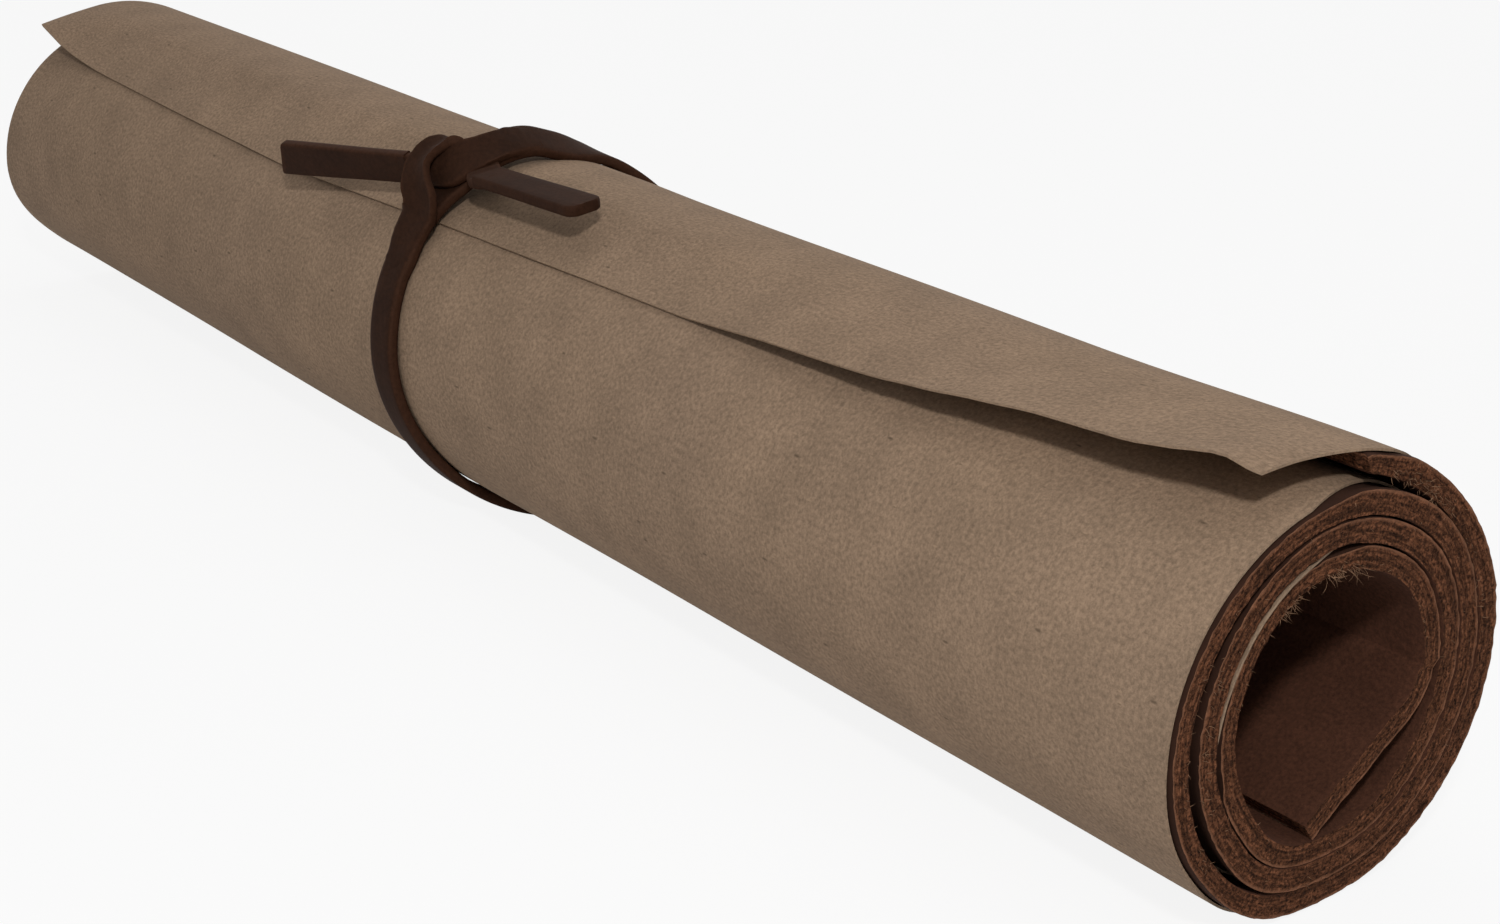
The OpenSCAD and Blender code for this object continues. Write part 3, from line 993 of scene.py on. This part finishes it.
def on_loop(points):
    """Carries points from the knot's own axes, in millimetres, to the frame."""
    c, s = math.cos(KNOT_TURN), math.sin(KNOT_TURN)
    x, y, z = np.moveaxis(points, -1, 0)
    return np.stack([x, c * y - s * z, s * y + c * z], -1) + SEAT


def through(values, places):
    """A smooth curve through the rows of values, at places counted in rows."""
    values = np.asarray(values, float)
    last = len(values) - 1
    i = np.minimum(np.floor(places).astype(int), last - 1)
    f = (places - i)[:, None]
    a, b, c, d = (values[np.clip(i + k, 0, last)] for k in (-1, 0, 1, 2))
    bend, twist = a - 2.5 * b + 2 * c - d / 2, 1.5 * (b - c) + (d - a) / 2
    return b + f * (c - a) / 2 + f**2 * bend + f**3 * twist


def strand_rings(strand, ring, steps):
    """The rings of a strand of the knot, in the knot's own axes."""
    places = np.linspace(0, len(strand) - 1, steps)
    columns = ([np.atleast_1d(row[i]) for row in strand] for i in range(4))
    here, across, wide, cup = (through(column, places) for column in columns)
    ahead = unit(np.gradient(here, axis=0))
    out = unit(np.cross(ahead, across))
    side = np.cross(out, ahead)
    reach = ring[:, 0] * wide
    high = ring[:, 1] - cup * (ring[:, 0] / np.abs(ring[:, 0]).max()) ** 2
    rings = here[:, None] + side[:, None] * reach[..., None] + out[:, None] * high[..., None]
    creased = 0.16 * wobble(rings * 0.45, 21) + 0.1 * wobble(rings * 1.1, 22)
    return rings + out[:, None] * creased[..., None]


class ROLL_OT_knot(bpy.types.Operator):
    """Ties the knot from the two strands of the lace"""

    bl_idname = "leather_roll.knot"
    bl_label = "Tie the knot"

    def execute(self, context):
        lace = sizes_mm(context.scene.lace_sizes)
        ring = lace_ring(lace.width, lace.thick)
        finish = bpy.data.materials[LACE_FINISH]
        for name, strand in (("lace_knot_front", FRONT_STRAND), ("lace_knot_back", BACK_STRAND)):
            rings = on_loop(strand_rings(strand, ring, 120))
            piece = lace_piece(name, rings, ring[:, 2], False, finish)
            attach(piece, "lace")
            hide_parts("lace_knot")
        return {"FINISHED"}


# How far a tail runs into the knot, in mm
TAIL_ROOT = 2.5


def tail_axes(turn, face, mirrored):
    """A tail's own axes in the knot's: along, across and out."""
    ct, st = math.cos(turn), math.sin(turn)
    cf, sf = math.cos(face), math.sin(face)
    along = np.array([ct, st, 0]) * (-1 if mirrored else 1)
    across = np.array([-st * cf, ct * cf, sf])
    out = np.array([st * sf, -ct * sf, cf])
    return along, across, out


class ROLL_OT_tails(bpy.types.Operator):
    """Lays the two free tails of the lace"""

    bl_idname = "leather_roll.tails"
    bl_label = "Lay the tails"

    def execute(self, context):
        lace = sizes_mm(context.scene.lace_sizes)
        finish = bpy.data.materials[LACE_FINISH]
        ring = lace_ring(lace.width, lace.thick, 0.25)
        # Side, root, turn and face in degrees, mirrored, length, corner, share of the lace's width,
        # how pale the edges are drawn (partly wear, partly painted highlight), slant of the end
        rows = (
            ("left", (-11.0, -1.3, 2.16), 14, 82, True, lace.tail_left_l, 0.3, 0.84, 1.0, 0.4),
            ("right", (11.0, 2.6, 2.52), 3, -22, False, lace.tail_right_l, 1.4, 0.9, 0.3, 0),
        )
        for side, root, turn, face, mirrored, long, corner, slim, edge_wear_and_highlight, bias in rows:
            along, across, out = tail_axes(math.radians(turn), math.radians(face), mirrored)
            run = np.linspace(-TAIL_ROOT, long - corner, 40)
            run = np.concatenate([run, long - corner + corner * np.array([0.4, 0.75, 0.95, 1])])
            past = np.clip((run - (long - corner)) / corner, 0, 1)
            narrow = lace.width / 2 - corner * (1 - np.sqrt(1 - np.minimum(past, 0.98) ** 2))
            narrow = narrow / (lace.width / 2) * (slim + 0.1 * smooth(0, long, run))
            run, narrow = run[:, None], narrow[:, None]
            skewed = run - bias * ring[:, 0] * smooth(long - 9, long, run)
            rings = np.array(root) + skewed[..., None] * along + ring[:, 1, None] * out
            rings = rings + (ring[:, 0] * narrow)[..., None] * across
            # Edges and the last mm of the tail are drawn paler: partly wear, partly a painted highlight
            wear_and_highlight = edge_wear_and_highlight * np.maximum(ring[:, 2], smooth(long - 1.0, long, run))
            piece = lace_piece(f"lace_tail_{side}_strap", on_loop(rings), wear_and_highlight, False, finish)
            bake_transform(piece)
            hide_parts(f"lace_tail_{side}")
        return {"FINISHED"}


# Stage

CAMERA_AT = (0.3075, -0.1966, 0.14826)
CAMERA_TURN = (math.radians(68.52), 0, math.radians(52.85))
CAMERA_LENS = 60.69
CAMERA_SENSOR = 36
KEY_AT = (0.375, -0.239, 0.362)
KEY_SIZE = 0.04
TOP_AT = (-0.1, 0.35, 1.2)
TOP_SIZE = 1.0
AIM = (0.06, 0, 0.03)
FLOOR_SIZE = 12
WHITE = (1, 1, 1, 1)


def lamp(name, place, aim, size, power):
    """An area lamp at a place, turned to a point."""
    bpy.ops.object.light_add(type="AREA", location=place)
    made = bpy.context.object
    made.name = name
    made.data.size = size
    made.data.energy = power
    made.rotation_euler = (Vector(aim) - Vector(place)).to_track_quat("-Z", "Y").to_euler()


def seen_directly(tree):
    """1 for what the camera sees, also by reflection or through glass, and 0 for light on surfaces."""
    path = add(tree, "LightPath").outputs
    mirrored = add(tree, "Math", {0: path["Is Camera Ray"], 1: path["Is Glossy Ray"]}, operation="MAXIMUM")
    return add(tree, "Math", {0: mirrored, 1: path["Is Transmission Ray"]}, operation="MAXIMUM")


class ROLL_OT_stage(bpy.types.Operator):
    """Sets up the floor, the light and the camera"""

    bl_idname = "leather_roll.stage"
    bl_label = "Set up the stage"

    def execute(self, context):
        light = context.scene.stage_light
        context.scene.view_settings.view_transform = "Standard"
        bpy.ops.object.select_all(action="DESELECT")
        bpy.ops.mesh.primitive_plane_add(size=FLOOR_SIZE)
        floor = context.object
        floor.name = "floor"
        made, tree = new_material("white_floor")
        matt = add(tree, "BsdfDiffuse", {"Color": (0.85, 0.85, 0.85, 1)})
        white = add(tree, "Emission", {"Color": WHITE, "Strength": 1.0})
        whitened = add(tree, "Math", {0: seen_directly(tree), 1: 0.88}, operation="MULTIPLY")
        mixed = add(tree, "MixShader", {0: whitened, 1: matt, 2: white})
        add(tree, "OutputMaterial", {0: mixed})
        floor.data.materials.append(made)

        world = bpy.data.worlds.new("studio")
        context.scene.world = world
        world.use_nodes = True
        tree = world.node_tree
        tree.nodes.clear()
        even = add(tree, "Background", {"Color": WHITE, "Strength": light.sky})
        backdrop = add(tree, "Background", {"Color": WHITE, "Strength": 1.0})
        mixed = add(tree, "MixShader", {0: seen_directly(tree), 1: even, 2: backdrop})
        add(tree, "OutputWorld", {0: mixed})

        lamp("key", KEY_AT, AIM, KEY_SIZE, light.key)
        lamp("top", TOP_AT, AIM, TOP_SIZE, light.top)

        bpy.ops.object.camera_add(location=CAMERA_AT, rotation=CAMERA_TURN)
        camera = context.object
        camera.data.sensor_width = CAMERA_SENSOR
        camera.data.lens = CAMERA_LENS
        camera.data.clip_start = 0.01
        context.scene.camera = camera
        return {"FINISHED"}


class ROLL_PT_panel(bpy.types.Panel):
    """Shows the roll's settings and the buttons that build its pieces"""

    bl_idname = "ROLL_PT_panel"
    bl_label = "Leather roll"
    bl_space_type = "VIEW_3D"
    bl_region_type = "UI"
    bl_category = "Leather roll"

    def draw(self, context):
        for group in GROUPS:
            box = self.layout.box()
            values = getattr(context.scene, group)
            for key in values.bl_rna.properties.keys():
                if key not in ("rna_type", "name"):
                    box.prop(values, key)
        for operator in OPERATORS:
            self.layout.operator(operator.bl_idname)


GROUPS = {
    "roll_sizes": RollSizes,
    "lace_sizes": LaceSizes,
    "roll_colours": RollColours,
    "stage_light": StageLight,
}
OPERATORS = (
    *(ROLL_OT_stage, ROLL_OT_leather, ROLL_OT_fibres, ROLL_OT_paper),
    *(ROLL_OT_loop, ROLL_OT_knot, ROLL_OT_tails),
)


def register():
    for made in (*GROUPS.values(), *OPERATORS, ROLL_PT_panel):
        bpy.utils.register_class(made)
    for name, group in GROUPS.items():
        setattr(bpy.types.Scene, name, bpy.props.PointerProperty(type=group))


def unregister():
    for name in GROUPS:
        delattr(bpy.types.Scene, name)
    for made in reversed((*GROUPS.values(), *OPERATORS, ROLL_PT_panel)):
        bpy.utils.unregister_class(made)


def main():
    register()
    bpy.ops.leather_roll.stage()
    bpy.ops.leather_roll.leather()
    bpy.ops.leather_roll.fibres()
    bpy.ops.leather_roll.paper()
    bpy.ops.leather_roll.loop()
    bpy.ops.leather_roll.knot()
    bpy.ops.leather_roll.tails()


if __name__ == "__main__":
    main()
